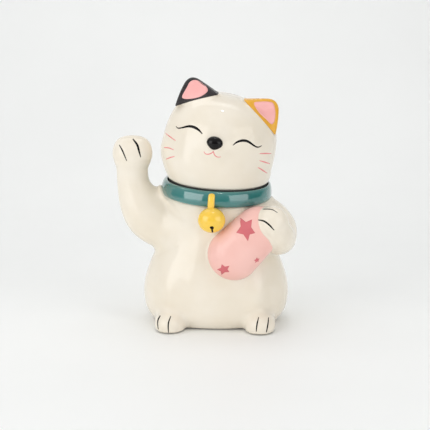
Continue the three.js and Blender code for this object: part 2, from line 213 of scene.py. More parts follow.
def ring_points(corners, steps=5):
    """Smooth samples round a closed list of points."""
    corners = np.array(corners, float)
    count = len(corners)
    out = []
    for i in range(count):
        around = [corners[(i + k) % count] for k in (-1, 0, 1, 2)]
        out += [between(*around, t) for t in np.arange(steps) / steps]
    return np.array(out)


# ---- Fields: negative inside, about a distance in millimetres near the surface ----
def tube(stops, flatten=1.0, steps=6):
    """Field of a rounded limb; each stop is x, y, z, radius. flatten scales its depth about the path."""
    spots = path_points(stops, steps)

    def field(x, y, z):
        best = np.full(x.shape, FAR, np.float32)
        for a, b in zip(spots[:-1], spots[1:]):
            px, py, pz = x - a[0], (y - a[1]) / flatten, z - a[2]
            bx, by, bz = b[0] - a[0], (b[1] - a[1]) / flatten, b[2] - a[2]
            t = np.clip((px * bx + py * by + pz * bz) / (bx * bx + by * by + bz * bz + TINY), 0, 1)
            gap = np.sqrt((px - t * bx) ** 2 + (py - t * by) ** 2 + (pz - t * bz) ** 2)
            np.minimum(best, gap - (a[3] + t * (b[3] - a[3])), out=best)
        return best

    return field


def egg(x, y, z, at, radii, square=2.0):
    """Field of a squared ellipsoid."""
    u, v, w = x - at[0], y - at[1], z - at[2]
    powers = np.abs(u / radii[0]) ** square + np.abs(v / radii[1]) ** square + np.abs(w / radii[2]) ** square
    rho = (powers + TINY) ** (1 / square)
    return np.sqrt(u * u + v * v + w * w) * (1 - 1 / rho)


COS_PITCH, SIN_PITCH = math.cos(PITCH), math.sin(PITCH)
COS_ROLL, SIN_ROLL = math.cos(ROLL), math.sin(ROLL)


def to_neck(x, y, z):
    """World millimetres to the neck's frame: x, y across the parting plane, w along the neck."""
    dx, dy, dz = x - NECK[0], y - NECK[1], z - NECK[2]
    return (
        dx * COS_ROLL + dy * SIN_PITCH * SIN_ROLL - dz * COS_PITCH * SIN_ROLL,
        dy * COS_PITCH + dz * SIN_PITCH,
        dx * SIN_ROLL - dy * SIN_PITCH * COS_ROLL + dz * COS_PITCH * COS_ROLL,
    )


def from_neck(points):
    """Points in the neck's frame to world millimetres."""
    turn = np.array([
        [COS_ROLL, 0, SIN_ROLL],
        [SIN_PITCH * SIN_ROLL, COS_PITCH, -SIN_PITCH * COS_ROLL],
        [-COS_PITCH * SIN_ROLL, SIN_PITCH, COS_PITCH * COS_ROLL],
    ])
    return np.asarray(points, float) @ turn.T + NECK


# ---- Fields of the jar ----
hip_wide, hip_deep = through(HIP_WIDE), through(HIP_DEEP)
upper_arm = tube([
    (-28, -12, 95, 25.5), (-50, -7, 98, 25.4), (-65.5, -8, 106.5, 24), (-75, -9.5, 120, 20),
    (-80.8, -10, 137, 16.2), (-82, -11, 154, 15.6), (-81.6, -12, 165, 17.8),
], flatten=0.93)
forearm = tube([
    (34, 6, 110, 15.6), (49.5, -2, 107, 18.2), (62, -14, 97.5, 17.3),
    (62.5, -30, 90, 17), (60, -43, 97, 15.4), (56, -49, 105, 14.4),
])
pouch_egg = tube([(19.5, -48, 76.2, 24.8), (31, -47, 88, 24), (43, -44, 100, 22.5)], flatten=0.73, steps=4)
tail_curl = tube([
    (-8, 50, 15, 8), (4, 59, 18, 8.5), (17, 61, 25, 8.5), (27, 58, 35, 7.5), (31, 55.5, 41, 6.4),
])


def hips(x, y, z):
    """The jar's outer wall, leaning with the neck near the top."""
    h = z
    for _ in range(3):  # each round brings h nearer to the height along the lean
        lean = smoothstep(h, LEAN_FROM, LEAN_TO)
        cx, cy = lean * SEAT[0], lerp(HIP_BACK, SEAT[1], lean)
        h = z + np.tan(lean * ROLL) * (x - cx) - np.tan(lean * PITCH) * (y - cy)
    u = (x - cx) / np.cos(lean * ROLL)
    v = (y - cy) / np.cos(lean * PITCH)
    fade = 1 - smoothstep(h, 0.5 * LEG_TOP, LEG_TOP)
    front = smoothstep(-v, 0, LEG_FADE)
    v = v + front * LEG_BULGE * fade * np.exp(-(((np.abs(u) - THIGH_X) / LEG_SPREAD) ** 2))
    square = lerp(HIP_SQUARE, 2, lean)
    wide, deep = hip_wide(h), hip_deep(h)
    rho = (np.abs(u / wide) ** square + np.abs(v / deep) ** square + TINY) ** (1 / square)
    return np.hypot(u, v) * (1 - 1 / rho)


def raised_paw(x, y, z):
    """Three toes, the middle one a little higher."""
    toes = [
        egg(x, y, z, (PAW_AT[0] + k * TOE_STEP, PAW_AT[1], PAW_AT[2] + TOE_RISE * (k == 0)), TOE_SIZE)
        for k in (-1, 0, 1)
    ]
    return join(join(toes[0], toes[1], TOE_FILLET), toes[2], TOE_FILLET)


def holding_paw(x, y, z):
    return egg(x, y, z, HOLDING_PAW_AT, HOLDING_PAW_SIZE, PAW_SQUARE)


def arms(x, y, z, r, w):
    """Both arms, webbed up to the collar's face and ending there."""
    past_r = np.maximum(np.abs(r - BAND_R) - BAND_HALF_R, 0)
    past_w = np.maximum(np.abs(w - BAND_W) - BAND_HALF_W, 0)
    band = np.hypot(past_r, past_w) - BAND_ROUND
    right = join(upper_arm(x, y, z), raised_paw(x, y, z), RAISED_WRIST)
    right = join(right, band, COLLAR_WEB) + COLLAR_WEB * smoothstep(right, 0.4 * COLLAR_WEB, COLLAR_WEB)
    left = join(forearm(x, y, z), holding_paw(x, y, z), HOLDING_WRIST)
    collar_room = np.minimum(np.maximum(ARM_STOP_R - r, -band - BAND_LAP), w + SHOULDER_DROP)
    return meet(np.minimum(right, left), collar_room, THIN_EDGE)


def feet(x, y, z):
    return egg(np.abs(x - FEET_X), y, z, FOOT_AT, FOOT_SIZE, PAW_SQUARE)


def casting(x, y, z):
    """Outer surface of the jar with its arms, feet and tail, without the pouch."""
    nx, ny, w = to_neck(x, y, z)
    r = np.hypot(nx, ny)
    wall = hips(x, y, z)
    out = meet(wall, w + SHOULDER_DROP, EDGE_ROUND)
    out = join(out, arms(x, y, z, r, w), ARM_FILLET)
    out = join(out, feet(x, y, z), FOOT_FILLET)
    out = join(out, tail_curl(x, y, z), TAIL_FILLET)
    underside = FOOT_RING * smoothstep(wall, RING_FROM, RING_TO)
    return meet(out, underside - z, THIN_EDGE)


def jar_skin(x, y, z):
    """The casting with the pouch, as one glazed surface."""
    return join(casting(x, y, z), pouch_egg(x, y, z), POUCH_FILLET)


def jar_field(x, y, z):
    """The hollow jar, with a bed for the pouch's own casting and a rim round its mouth."""
    nx, ny, w = to_neck(x, y, z)
    r = np.hypot(nx, ny)
    out = casting(x, y, z)
    wall = hips(x, y, z)
    pouch = pouch_egg(x, y, z)
    skin = join(out, pouch, POUCH_FILLET)
    pouch_core = np.maximum(pouch - out + POUCH_BED, -(wall + BED_DEPTH))
    skin = meet(skin, -pouch_core, EDGE_ROUND)
    rim = np.maximum(meet(r - RIM_R, w + SEAT_DROP, EDGE_ROUND), -(w + RIM_DEPTH))
    cavity = meet(meet(wall + WALL, FLOOR - z, FLOOR_ROUND), w + SEAT_DROP + CAVITY_DROP, ROOF_ROUND)
    bore = np.maximum(r - BORE_R, -(w + BORE_DEPTH))
    hollow = join(cavity, bore, BORE_FILLET)
    return meet(np.minimum(skin, rim), -hollow, EDGE_ROUND)


def pouch_field(x, y, z):
    """The pouch's own casting: its share of the skin, rooted in the jar's wall."""
    out = casting(x, y, z)
    pouch = pouch_egg(x, y, z)
    skin = join(out, pouch, POUCH_FILLET) - PROUD
    return meet(meet(skin, pouch - out, POUCH_EDGE), -(hips(x, y, z) + POUCH_ROOT), POUCH_EDGE)


def bell_field(x, y, z):
    """The bell, with its back set into the casting."""
    return meet(egg(x, y, z, BELL_AT, BELL_SIZE), -(casting(x, y, z) + BELL_BED), BELL_EDGE)


# ---- Fields of the head, in the neck's frame ----
LEAN_FULL = math.radians(HEAD_ROLL)
foot_r = through([
    (-LID_DROP, LID_FOOT_R), (LID_WAIST[0], HEAD_FOOT_R - LID_WAIST[1]), (0, HEAD_FOOT_R - GROOVE),
])
ear_front = through([(-1, -26), (0, -22), (1, -9)])
ear_back = through([(-1, 10), (0, 8), (1, -1)])


def cheek(h):
    """How far the head has widened at a height, from 0 at its foot to 1 at its widest section."""
    return np.sin(np.clip(h / HEAD_H, 0, 1) * math.pi / 2)


def head_straight(x, y, w):
    """Straighten the head's leaning sections: across, depth and height above the parting plane."""
    h = w
    for _ in range(5):  # each round brings h nearer to the height of the section through the point
        t = np.clip(h / HEAD_H, 0, 1)
        tilt = LEAN_FULL * smoothstep(h, 0, HEAD_H + TILT_PAST)
        above = np.maximum(h - HEAD_H, 0)
        bow = (3 - 2 * t) * t * t * HEAD_X + (t - 1) * t * t * HEAD_H * math.tan(LEAN_FULL)
        cx = bow + above * math.sin(LEAN_FULL)
        cz = h - above + above * math.cos(LEAN_FULL)
        h = h + (x - cx) * np.sin(tilt) + (w - cz) * np.cos(tilt)
    return (x - cx) * np.cos(tilt) - (w - cz) * np.sin(tilt), y, h


def head_shell(x, y, w):
    """The head's outer wall without ears."""
    u, v, h = head_straight(x, y, w)
    up = np.maximum(h - HEAD_H, 0)
    groove = GROOVE * (1 - smoothstep(h, GROOVE_FROM, GROOVE_TO))
    wide = np.where(h > 0, lerp(HEAD_FOOT_R, HEAD_WIDE, cheek(h)) - groove, foot_r(h))
    deep = np.where(h > 0, lerp(HEAD_FOOT_R, HEAD_DEEP, cheek(h)) - groove, foot_r(h))
    flat = (u / wide) ** 2 + (v / deep) ** 2
    rho = (flat ** (HEAD_SQUARE / 2) + (up / HEAD_UP) ** HEAD_SQUARE + TINY) ** (1 / HEAD_SQUARE)
    return np.sqrt(u * u + v * v + up * up) * (1 - 1 / rho)


def on_head(x, w):
    """Neck-frame x, w to the head's leaning frame, measured from its widest section."""
    c, s = math.cos(LEAN_FULL), math.sin(LEAN_FULL)
    dx, dw = x - HEAD_X, w - HEAD_H
    return dx * c - dw * s, dx * s + dw * c


def beyond(px, pz, a, b, swell):
    """Distance outside the line from a to b in the ear's face, bowed outwards by swell at its middle."""
    run = b - a
    length = np.hypot(*run)
    along = ((px - a[0]) * run[0] + (pz - a[1]) * run[1]) / length
    out = ((pz - a[1]) * run[0] - (px - a[0]) * run[1]) / length
    t = np.clip(along / length, 0, 1)
    return out - swell * np.sin(math.pi * t)


def ear_face(px, y, pz, side, grow=0.0):
    """The ear's triangle with a rounded tip, narrowing to the back."""
    grow = grow - EAR_TAPER * np.clip((y - EAR_TAPER_FROM) / (EAR_ENDS - EAR_TAPER_FROM), 0, 1.2) ** 1.7
    outer = beyond(px, pz, EAR_APEX[side], EAR_OUTER[side], EAR_SWELL) - grow
    inner = beyond(px, pz, EAR_INNER[side], EAR_APEX[side], EAR_INNER_SWELL) - grow
    root = beyond(px, pz, EAR_OUTER[side], EAR_INNER[side], EAR_ROOT_SWELL)
    return meet(meet(inner, outer, EAR_TIP_ROUND), root, 1.5)


def ear_field(x, y, w, side, shell):
    """An ear rising out of the head's dome; its front starts just proud of the dome."""
    px, pz = on_head(x, w)
    px = px * side
    base = (EAR_INNER[side] + EAR_OUTER[side]) / 2
    rise = EAR_APEX[side] - base
    t = ((px - base[0]) * rise[0] + (pz - base[1]) * rise[1]) / (rise @ rise)
    off_x, off_z = (px - EAR_DISH_AT[0]) / EAR_DISH_SIZE[0], (pz - EAR_DISH_AT[1]) / EAR_DISH_SIZE[1]
    dish = EAR_DISH * np.exp(-(off_x ** 2) - off_z ** 2)
    front = join((ear_front(t) - y) * 0.86, shell - 0.5, 4) + dish  # 0.86 and 0.95 allow for the slants
    back = (y - ear_back(t)) * 0.95
    return meet(meet(ear_face(px, y, pz, side), front, EAR_FRONT_ROUND), back, EAR_BACK_ROUND)


def ear_core(x, y, w, side, shell):
    """What the ear's own casting holds: its outline carried into the head's wall."""
    px, pz = on_head(x, w)
    core = meet(ear_face(px * side, y, pz, side, EAR_GROW), y - EAR_ENDS, 2)
    return meet(core, -(shell + EAR_ROOT), 1)


def head_skin(x, y, w):
    """The head with its muzzle and ears, as one glazed surface."""
    shell = head_shell(x, y, w)
    px, pz = on_head(x, w)
    off = ((px - MUZZLE[0]) / MUZZLE_SIZE[0]) ** 2 + ((pz - MUZZLE[1]) / MUZZLE_SIZE[1]) ** 2
    muzzle = MUZZLE_RISE * np.exp(-off**1.4) * smoothstep(-y, MUZZLE_FROM, MUZZLE_TO)
    out = shell - muzzle
    for side in (-1, 1):
        out = join(out, ear_field(x, y, w, side, shell), EAR_FILLET)
    return out


def head_field(x, y, w):
    """The hollow head, with a bed under each ear and a flange that stands in the jar's mouth."""
    shell = head_shell(x, y, w)
    out = head_skin(x, y, w)
    for side in (-1, 1):
        out = out + EAR_BED * smoothstep(-ear_core(x, y, w, side, shell), 0.1, EAR_GROW)
    r = np.hypot(x, y)
    out = meet(out, -(w + LID_DROP), EDGE_ROUND)
    flange = np.maximum(meet(r - FLANGE_R, -(w + FLANGE_DROP), 3), w + LID_FLOOR)
    cavity = meet(shell + WALL, -(w + LID_FLOOR), 4)
    bore = np.maximum(r - (FLANGE_R - FLANGE_WALL), w)
    return meet(np.minimum(out, flange), -join(cavity, bore, 5), EDGE_ROUND)


def ear_piece(x, y, w, side):
    """An ear's own casting."""
    shell = head_shell(x, y, w)
    return meet(head_skin(x, y, w) - PROUD, ear_core(x, y, w, side, shell), 1.4)


def nose_field(x, y, w):
    """A raised nose, broad above and pointed below."""
    px, pz = on_head(x, w)
    u, v = px - NOSE_AT[0], pz - NOSE_AT[1]
    narrow = 1 - NOSE_POINT * np.clip(-v / NOSE_HIGH, 0, 1) ** 1.5
    size = (NOSE_WIDE, NOSE_THICK, NOSE_HIGH)
    ball = egg(u / narrow, y, v, (0, -HEAD_DEEP + NOSE_SET, 0), size, NOSE_SQUARE)
    return meet(ball, -(head_shell(x, y, w) + NOSE_BED), 0.6)


# ---- Surfaces from fields ----
CORNERS = np.array([(i, j, k) for i in (0, 1) for j in (0, 1) for k in (0, 1)])
EDGES = [(a, b) for a in range(8) for b in range(a + 1, 8) if np.abs(CORNERS[a] - CORNERS[b]).sum() == 1]
SLAB = 12  # grid layers measured at a time
SLOPE_WIDTH = 0.05
AROUND = 160  # sections of a revolved piece


def slope(field, points):
    """Gradient of a field at some points."""
    grad = np.empty_like(points)
    for k in range(3):
        shift = np.zeros(3)
        shift[k] = SLOPE_WIDTH
        grad[:, k] = (field(*(points + shift).T) - field(*(points - shift).T)) / (2 * SLOPE_WIDTH)
    return grad


def heal(grid):
    """Fill one corner of each grid face whose filled corners only touch across its diagonal."""
    barely = -0.01
    for _ in range(4):
        for d in range(3):
            flat = np.moveaxis(grid, d, 0)
            rows, cols = flat.shape[1] - 1, flat.shape[2] - 1
            corners = [flat[:, i:rows + i, j:cols + j] for i, j in ((0, 0), (0, 1), (1, 1), (1, 0))]
            first, second, third, fourth = (corner < 0 for corner in corners)
            crossed = (first == third) & (second == fourth) & (first != second)
            for i, j, k in np.argwhere(crossed):
                empty = corners[1] if first[i, j, k] else corners[0]
                empty[i, j, k] = barely


def surface(field, low, high, step):
    """Quads over the zero level of a field: one point in each crossed cell, drawn onto the level."""
    low = np.array(low, float)
    counts = np.ceil((np.array(high) - low) / step).astype(int) + 1
    xs, ys, zs = ((low[k] + step * np.arange(counts[k])).astype(np.float32) for k in range(3))
    grid = np.empty(counts, np.float32)
    for i in range(0, counts[0], SLAB):
        grid[i:i + SLAB] = field(*np.meshgrid(xs[i:i + SLAB], ys, zs, indexing="ij"))
    heal(grid)
    inside = grid < 0
    a, b, c = inside.shape
    filled = sum(inside[i:a - 1 + i, j:b - 1 + j, k:c - 1 + k].astype(np.int8) for i, j, k in CORNERS)
    active = (filled > 0) & (filled < 8)
    number = np.full(active.shape, -1, np.int64)
    number[active] = np.arange(active.sum())
    cells = np.argwhere(active)
    values = [grid[tuple((cells + corner).T)].astype(float) for corner in CORNERS]
    total = np.zeros((len(cells), 3))
    hits = np.zeros(len(cells))
    for p, q in EDGES:
        crossed = (values[p] < 0) != (values[q] < 0)
        t = np.where(crossed, values[p] / np.where(crossed, values[p] - values[q], 1), 0)
        total += crossed[:, None] * (CORNERS[p] + t[:, None] * (CORNERS[q] - CORNERS[p]))
        hits += crossed
    points = low + step * (cells + total / hits[:, None])
    most = 0.35 * step  # how far a point may move in one round
    for _ in range(3):
        grad = slope(field, points)
        pull = field(*points.T)[:, None] * grad / np.maximum((grad**2).sum(1), 0.05)[:, None]
        points -= np.clip(pull, -most, most)
    return points, crossing_quads(inside, number)


def crossing_quads(inside, number):
    """One quad round each grid edge that passes through the surface, facing out."""
    quads = []
    for d in range(3):
        u, v = (d + 1) % 3, (d + 2) % 3
        span = [slice(1, n - 1) for n in inside.shape]
        start = inside[tuple(span)]
        span[d] = slice(2, inside.shape[d])
        change = np.argwhere(start != inside[tuple(span)]) + 1
        out = inside[tuple(change.T)]
        back = [np.zeros(3, int) for _ in range(4)]
        back[0][u] = back[0][v] = back[1][v] = back[3][u] = 1
        ring = np.stack([number[tuple((change - shift).T)] for shift in back], 1)
        quads.append(np.where(out[:, None], ring, ring[:, ::-1]))
    return np.vstack(quads)


def mesh_object(name, points, faces):
    """A Blender object from millimetre points and faces, which are one array or a list of mixed sizes."""
    mesh = bpy.data.meshes.new(name)
    if isinstance(faces, np.ndarray):
        mesh.vertices.add(len(points))
        mesh.vertices.foreach_set("co", (np.asarray(points) * MM).astype(np.float32).ravel())
        mesh.loops.add(faces.size)
        mesh.loops.foreach_set("vertex_index", faces.astype(np.int32).ravel())
        mesh.polygons.add(len(faces))
        mesh.polygons.foreach_set("loop_start", np.arange(0, faces.size, faces.shape[1], dtype=np.int32))
        mesh.update(calc_edges=True)
    else:
        mesh.from_pydata((np.asarray(points) * MM).tolist(), [], faces)
    mesh.validate()
    mesh.shade_smooth()
    thing = bpy.data.objects.new(name, mesh)
    bpy.context.scene.collection.objects.link(thing)
    return thing


def cast(name, field, low, high, step, on_neck=False):
    """One solid piece from a field between two corners, shaded with the field's own slope."""
    points, quads = surface(field, low, high, step)
    normals = slope(field, points)
    normals /= np.linalg.norm(normals, axis=1, keepdims=True) + 1e-12
    if on_neck:
        points, normals = from_neck(points), from_neck(normals) - NECK
    thing = mesh_object(name, points, quads)
    thing.data.normals_split_custom_set_from_vertices(normals.tolist())
    return thing


def cast_ear(name, side, low, high):
    return cast(name, lambda x, y, w: ear_piece(x, y, w, side), low, high, 0.7, on_neck=True)


def revolve(name, profile, slim=0.0):
    """A closed profile of radius and height turned about the neck's axis, slimmer on the +X side."""
    rows = []
    for a in np.arange(AROUND) * 2 * math.pi / AROUND:
        keep = 1 - slim * max(0, math.cos(a)) ** 1.5
        radii = [r if r < COLLAR_CORE else COLLAR_CORE + (r - COLLAR_CORE) * keep for r, w in profile]
        rows += [(r * math.cos(a), r * math.sin(a), w) for r, (_, w) in zip(radii, profile)]
    count = len(profile)
    i, j = np.meshgrid(np.arange(AROUND), np.arange(count), indexing="ij")
    here, there = i * count, (i + 1) % AROUND * count
    after = (j + 1) % count
    faces = np.stack([here + j, here + after, there + after, there + j], -1).reshape(-1, 4)
    return mesh_object(name, from_neck(rows), faces)


# ---- Pieces of the jar ----
jar = cast("glazed_jar", jar_field, (-103, -74, -3), (84, 74, 194), 1.38)
pouch = cast("pink_pouch", pouch_field, (-12, -75, 44), (66, -22, 128), 0.8)
bell = cast("round_bell", bell_field, (-17, -70, 96), (15, -42, 126), 0.6)

# Sections of the collar and of the seal: radius, and height above the parting plane
COLLAR_FACE = [
    (50.9, 0), (52.9, -0.8), (54.3, -2.5), (55.3, -5.2),
    (55.95, -8.2), (56.1, -11), (55.4, -13.6), (53.6, -15),
]
COLLAR_BORE = [(50.8, -15.2), (48.9, -14.8), (48.4, -12.4), (48.7, -8.5), (49.5, -4.2), (50.1, -1)]
# The seal's lip rises into the gap under the head's drawn-in edge; its dark rubber there also paints the
# shadow line of the seam.
SEAL_SECTION = [
    (38.7, -10.4), (40.4, -10.2), (42.1, -10.3), (43.2, -9.98), (44.3, -10.3), (46.3, -10.15), (46.9, -8.5),
    (47.5, -3), (47.9, 0.3), (48.3, 1.05), (48.8, 0.9), (48.9, 0), (48.4, -3), (48, -8), (47.9, -11.3),
    (46, -12), (43, -11.9), (40, -12), (38.7, -11.7),
]
collar = revolve("glazed_collar", ring_points(COLLAR_FACE + COLLAR_BORE), slim=0.38)
seal = revolve("seal_with_seam_shade_lip", ring_points(SEAL_SECTION, 4))

# The strap's middle line: distance out from the neck's axis, and height above the parting plane
STRAP_SPINE = path_points([(53.4, -3.4), (54.6, -4.4), (56.2, -8), (56.6, -12), (56.9, -16), (57.6, -20)], 4)


def strap_field(x, y, w):
    """A short strap lying down the collar's face to the bell."""
    c, s = math.cos(STRAP_TURN), math.sin(STRAP_TURN)
    across, out = x * c - y * s, -(x * s + y * c)
    best = np.full(x.shape, FAR)
    for a, b in zip(STRAP_SPINE[:-1], STRAP_SPINE[1:]):
        run = b - a
        t = np.clip(((out - a[0]) * run[0] + (w - a[1]) * run[1]) / (run @ run), 0, 1)
        best = np.minimum(best, np.hypot(out - a[0] - t * run[0], w - a[1] - t * run[1]))
    powers = np.abs(across / STRAP_HALF) ** STRAP_SQUARE + (best / STRAP_THICK) ** STRAP_SQUARE
    rho = (powers + TINY) ** (1 / STRAP_SQUARE)
    return np.hypot(across, best) * (1 - 1 / rho)


strap = cast("bell_strap_bar", strap_field, (-8, -64, -26), (4, -46, 4), 0.45, on_neck=True)

# ---- Pieces of the head ----
head = cast("glazed_head", head_field, (-64, -58, -30), (66, 56, 104), 1.15, on_neck=True)
black_ear = cast_ear("black_ear", -1, (-60, -32, 46), (7, 20, 108))
orange_ear = cast_ear("orange_ear", 1, (10, -32, 30), (66, 20, 104))
nose = cast("black_nose", nose_field, (-18, -62, 36), (8, -44, 60), 0.4, on_neck=True)

# ---- Painted marks: thin raised slabs of glaze ----
FACE_START, FRONT_START = -72.0, -78.0  # drawings are laid on from here, in front of the head and the jar
BRUSH_ACROSS, BRUSH_STEPS = 5, 7
BLOT_RINGS = 7
STAR_STEPS, STAR_WAIST = 5, 0.54
MARK_RIM, MARK_LIFT = 0.05, 0.13  # a mark's height at its edge, and how much more at its middle


def march(field, points):
    """Move points along +y until they lie on a field's surface."""
    points = np.array(points, float)
    for _ in range(60):
        points[:, 1] += 0.7 * field(*points.T)
    return points


def on_face(field):
    """A laying function for drawings on the head, in its own leaning frame."""
    c, s = math.cos(LEAN_FULL), math.sin(LEAN_FULL)

    def lay(spots):
        px, pz = np.asarray(spots, float).T
        depth = np.full(len(px), FACE_START)
        start = np.stack([HEAD_X + px * c + pz * s, depth, HEAD_H - px * s + pz * c], 1)
        return march(field, start), field

    return lay


def on_front(field):
    """A laying function for drawings of x and z on a piece seen from the front."""

    def lay(spots):
        x, z = np.asarray(spots, float).T
        depth = np.full(len(x), FRONT_START)
        return march(field, np.stack([x, depth, z], 1)), field

    return lay


def brush(path):
    """Grid of drawing points along a path of x, z, half-width."""
    line = path_points(path, BRUSH_STEPS)
    run = np.gradient(line[:, :2], axis=0)
    run /= np.linalg.norm(run, axis=1, keepdims=True)
    across = np.stack([-run[:, 1], run[:, 0]], 1)
    sides = np.linspace(-1, 1, BRUSH_ACROSS)
    spots = line[:, None, :2] + across[:, None] * (sides[None, :, None] * line[:, None, 2:3])
    rows = len(line)
    grid = np.arange(rows * BRUSH_ACROSS).reshape(rows, BRUSH_ACROSS)
    quads = np.stack([grid[:-1, :-1], grid[1:, :-1], grid[1:, 1:], grid[:-1, 1:]], -1).reshape(-1, 4)
    high = np.tile(1 - sides**2, rows)
    return spots.reshape(-1, 2), [tuple(quad) for quad in quads], high


def blot(outline):
    """Grid of drawing points filling a closed outline, round its middle."""
    outline = np.asarray(outline, float)
    centre = outline.mean(0)
    count = len(outline)
    rings = range(1, BLOT_RINGS + 1)
    spots = [centre] + [centre + (p - centre) * k / BLOT_RINGS for k in rings for p in outline]
    high = np.array([1] + [1 - (k / BLOT_RINGS) ** 4 for k in rings for _ in outline])
    faces = [(0, 1 + (i + 1) % count, 1 + i) for i in range(count)]
    for k in range(BLOT_RINGS - 1):
        a, b = 1 + k * count, 1 + (k + 1) * count
        faces += [(a + i, a + (i + 1) % count, b + (i + 1) % count, b + i) for i in range(count)]
    return np.array(spots), faces, high


def star(tips):
    """Outline of a star through its tips, with notches drawn in towards the middle."""
    tips = np.array(tips, float)
    centre = tips.mean(0)
    draw_in = STAR_WAIST / (2 * math.cos(math.pi / len(tips)))
    corners = []
    for a, b in zip(tips, np.roll(tips, -1, axis=0)):
        corners += [a, centre + (a + b - 2 * centre) * draw_in]
    corners = np.array(corners)
    after = np.roll(corners, -1, axis=0)
    shares = np.arange(STAR_STEPS) / STAR_STEPS
    return np.array([a + (b - a) * t for a, b in zip(corners, after) for t in shares])


def paint(name, marks, lay, on_neck=False, sink=0.3):
    """Closed slabs of coloured glaze over a surface, thickest along their middles."""
    points, faces = [], []
    for spots, grid, high in marks:
        top, field = lay(spots)
        out = slope(field, top)
        out /= np.linalg.norm(out, axis=1, keepdims=True)
        start, count = sum(len(p) for p in points), len(top)
        points += [top + out * (MARK_RIM + MARK_LIFT * high[:, None]), top - out * sink]
        a, b, c = (top[grid[0][k]] for k in range(3))
        if np.dot(np.cross(b - a, c - a), out[grid[0][0]]) < 0:
            grid = [f[::-1] for f in grid]
        edges = {(f[k], f[(k + 1) % len(f)]) for f in grid for k in range(len(f))}
        rim = [(a, b) for a, b in edges if (b, a) not in edges]
        faces += [tuple(start + i for i in f) for f in grid]
        faces += [tuple(start + count + i for i in f[::-1]) for f in grid]
        faces += [(start + b, start + a, start + count + a, start + count + b) for a, b in rim]
    points = np.vstack(points)
    return mesh_object(name, from_neck(points) if on_neck else points, faces)


# Drawings on the head are across and up from its widest section; the others are x and z.
# A brushed line's stops also have the half width.
EYES = [
    [(-44.3, 24.4, 0.3), (-41.8, 23.8, 0.5), (-37.8, 25.9, 0.65), (-33.9, 28.4, 0.9), (-30.2, 29.9, 1.15),
     (-26.4, 30.2, 1.3), (-22.2, 29.3, 1.0), (-17.8, 26.9, 0.35)],
    [(12.5, 23.8, 0.3), (14.6, 26.6, 0.75), (17.5, 28.7, 1.05), (20.9, 29.9, 1.2), (24.6, 29.9, 1.1),
     (28.8, 28.3, 0.9), (32.4, 26.6, 0.7), (36, 25.7, 0.6), (39.3, 27.4, 0.3)],
]
MOUTH = [
    [(-12.3, 11.9, 0.25), (-10.4, 10.4, 0.4), (-7.7, 10.8, 0.5), (-5.2, 12.6, 0.45), (-3.7, 15, 0.3)],
    [(-4, 15, 0.3), (-3.3, 13.6, 0.45), (-1.4, 11.3, 0.5), (1.5, 10.4, 0.4), (4.3, 11.3, 0.25)],
]
WHISKERS = [
    [(-53.4, 12.8, 0.3), (-47.6, 12.7, 0.6), (-41.2, 12, 0.3)],
    [(-51.3, -0.2, 0.3), (-46.6, 2.2, 0.55), (-41, 3, 0.3)],
    [(-46.4, -9.6, 0.3), (-42.7, -5.8, 0.55), (-38.6, -2.6, 0.3)],
    [(39.1, 19.8, 0.3), (44.9, 20.1, 0.6), (50.5, 19.7, 0.3)],
    [(40.8, 13.1, 0.3), (46, 11.7, 0.6), (51.8, 9.4, 0.3)],
    [(40.8, 6.5, 0.3), (45.9, 3.7, 0.6), (51.6, -0.1, 0.3)],
]
EAR_LININGS = [
    [(-45.8, 52), (-43.8, 60), (-41.8, 66.6), (-37, 69.4), (-31, 68.5),
     (-24.8, 65.8), (-23.4, 62.4), (-28, 57), (-36, 52.5), (-43, 50.4)],
    [(22.4, 62.8), (29, 65.3), (35, 66.4), (40, 66.2), (43.2, 62),
     (45.4, 55.5), (45.6, 49.5), (43.4, 47.3), (36.9, 51), (28, 56.4)],
]
PAW_LINES = [
    [(-92.4, 178.4, 0.4), (-88.7, 172.6, 0.7), (-84.9, 163.4, 0.35)],
    [(-79.6, 184, 0.45), (-75, 178.9, 0.95), (-73, 173, 0.85), (-71.4, 166.8, 0.35)],
    [(46.8, 121.2, 0.2), (51.8, 122, 0.32), (56.4, 121.6, 0.32), (60.6, 119.3, 0.18)],
    [(42.7, 112, 0.4), (48.3, 111.5, 0.8), (53.4, 108.1, 0.8), (57.8, 103.3, 0.35)],
    [(-51.1, 16.4, 0.4), (-53.3, 11.6, 0.65), (-52.7, 3.9, 0.4)],
    [(-40.6, 17, 0.4), (-42.4, 11.2, 0.65), (-42.4, 2.2, 0.4)],
    [(43.8, 17.2, 0.4), (42.3, 11.3, 0.65), (41.7, 4.6, 0.4)],
    [(53.3, 16.2, 0.4), (52.6, 10.4, 0.65), (51.3, 3.7, 0.4)],
]
STARS = [
    [(25.1, 113.3), (37, 112.3), (40.1, 100.1), (33.3, 92.7), (22.1, 99.9)],
    [(8.7, 70.2), (16.1, 69.2), (16, 62.5), (8.2, 58.4), (3.9, 64)],
    [(41.7, 76.6), (44.3, 74.9), (43.6, 71.8), (40.3, 70.6), (38.9, 73.8)],
]
KEYHOLE = [(-2.4, 105.8), (-1.2, 107), (0.6, 106.9), (1.5, 105.5), (0.5, 104.2), (-1.4, 104.3)]
KEYHOLE_SLOT = [(-0.4, 105, 0.8), (-0.2, 102.8, 0.85), (0, 100.2, 0.75)]


def on_pouch(x, y, z):
    return jar_skin(x, y, z) - PROUD


def on_ears(x, y, w):
    return head_skin(x, y, w) - PROUD


